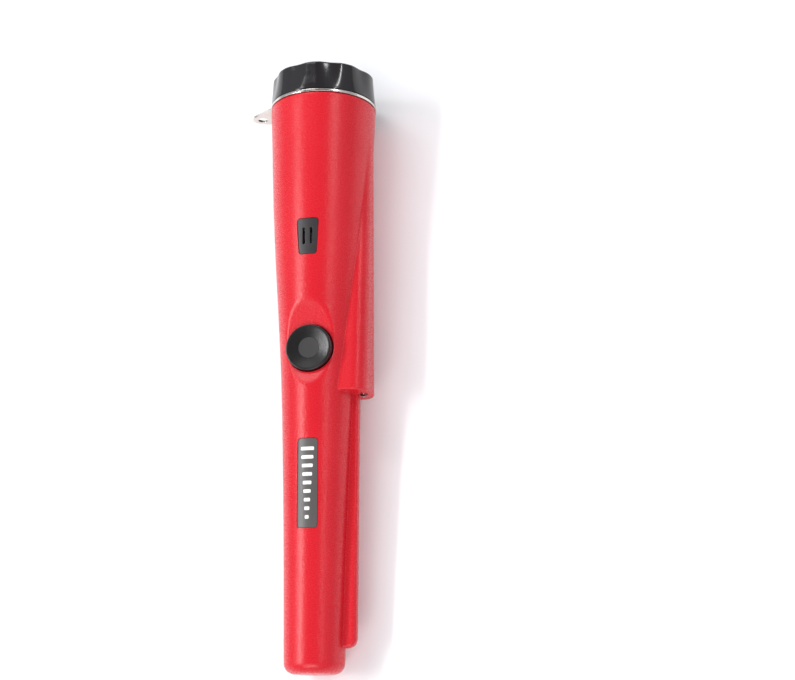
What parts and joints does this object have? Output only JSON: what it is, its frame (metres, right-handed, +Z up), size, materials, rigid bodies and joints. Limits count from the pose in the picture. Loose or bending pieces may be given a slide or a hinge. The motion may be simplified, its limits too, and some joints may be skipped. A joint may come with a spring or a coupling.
{
  "type": "pinpointer probe",
  "caption": "Handheld metal-detecting pinpointer: tapered red probe body with a side blade and lamp pod, push button, speaker grille, lanyard ring and screw-on battery cap.",
  "frame": {"origin": "middle of the footprint, on the surface that the probe lies on", "axes": "+Y from the sensing tip towards the battery cap, +Z up out of the power button, +X towards the lamp pod and blade"},
  "size_m": [0.0506, 0.23, 0.0413],
  "materials": {
    "housing_red": "fine spark-eroded matte moulding",
    "cap_black": "semi-gloss moulding",
    "rubber_black": "matt",
    "ring_steel": "stamped and tumbled",
    "button_black": "satin moulding",
    "spring_steel": "drawn wire",
    "switch_black": "moulded",
    "plunger_white": "moulded",
    "grille_dark": "fine matte moulding",
    "label_grey": "printed badge with a satin film",
    "speaker_metal": "pressed can",
    "lamp_clear": "clear epoxy lens",
    "wire_red": "extruded insulation",
    "wire_black": "extruded insulation",
    "chassis_grey": "moulded",
    "board_green": "solder mask",
    "screw_zinc": "zinc plated",
    "chip_black": "moulded package",
    "can_silver": "sleeved can",
    "connector_cream": "moulded",
    "ferrite": "sintered",
    "former_nylon": "moulded",
    "copper_wire": "enamelled winding",
    "battery_jacket": "printed metal jacket",
    "contact_nickel": "nickel plated"
  },
  "bodies": {
    "root": {"main_housing": "housing_red", "cap_seal_ring": "rubber_black", "button_spring": "spring_steel", "power_switch": "switch_black", "speaker_grille": "grille_dark", "speaker": "speaker_metal", "speaker_gasket": "rubber_black", "speaker_wires": "wire_black", "label_plate": "label_grey", "lamp": "lamp_clear", "lamp_wires": "wire_red", "chassis": "chassis_grey", "circuit_board": "board_green", "board_screws": "screw_zinc", "integrated_circuits": "chip_black", "capacitors": "can_silver", "crystal": "can_silver", "coil_connector": "connector_cream", "ferrite_rod": "ferrite", "coil_former": "former_nylon", "transmit_coil": "copper_wire", "receive_coil": "copper_wire", "coil_wires": "copper_wire", "tip_cushion": "rubber_black", "vibration_motor": "can_silver", "motor_sleeve": "rubber_black", "motor_wires": "wire_red", "battery": "battery_jacket", "battery_terminals": "contact_nickel", "snap_connector": "switch_black", "snap_contacts": "contact_nickel", "battery_lead_red": "wire_red", "battery_lead_black": "wire_black"},
    "cap_carrier": {"battery_bumper": "rubber_black"},
    "cap": {"battery_cap": "cap_black"},
    "ring": {"lanyard_ring": "ring_steel"},
    "button": {"power_button": "button_black"},
    "plunger": {"switch_plunger": "plunger_white"},
    "eccentric": {"motor_weight": "contact_nickel"}
  },
  "joints": [
    {"name": "cap_travel", "type": "slide", "parent": "root", "child": "cap_carrier", "axis": [0, 0.999, 0.0453], "range_m": [0, 0.009]},
    {"name": "cap_turn", "type": "hinge", "parent": "cap_carrier", "child": "cap", "pos_m": [0.00461, 0.10513, 0.02081], "axis": [0, 0.999, 0.0453], "range_deg": [0, 1080]},
    {"name": "ring_swivel", "type": "hinge", "parent": "root", "child": "ring", "pos_m": [0.00461, 0.10178, 0.02066], "axis": [0, 0.999, 0.0453], "range_deg": [-150, 150]},
    {"name": "button_press", "type": "slide", "parent": "root", "child": "button", "axis": [0, 0.0453, -0.999], "range_m": [0, 0.0012], "stiffness_N_per_m": 1000, "springref_m": -0.002, "deforming": ["button_spring"]},
    {"name": "plunger_press", "type": "slide", "parent": "root", "child": "plunger", "axis": [0, 0.0453, -0.999], "range_m": [0, 0.0012]},
    {"name": "motor_spin", "type": "hinge", "parent": "root", "child": "eccentric", "pos_m": [0.00911, 0.03345, 0.01205], "axis": [0, 0.999, 0.0453], "continuous": true}
  ],
  "couplings": [
    {"joint": "cap_turn", "follows": "cap_travel", "rad_per_m": 2094.4},
    {"joint": "plunger_press", "follows": "button_press", "ratio": 1}
  ]
}
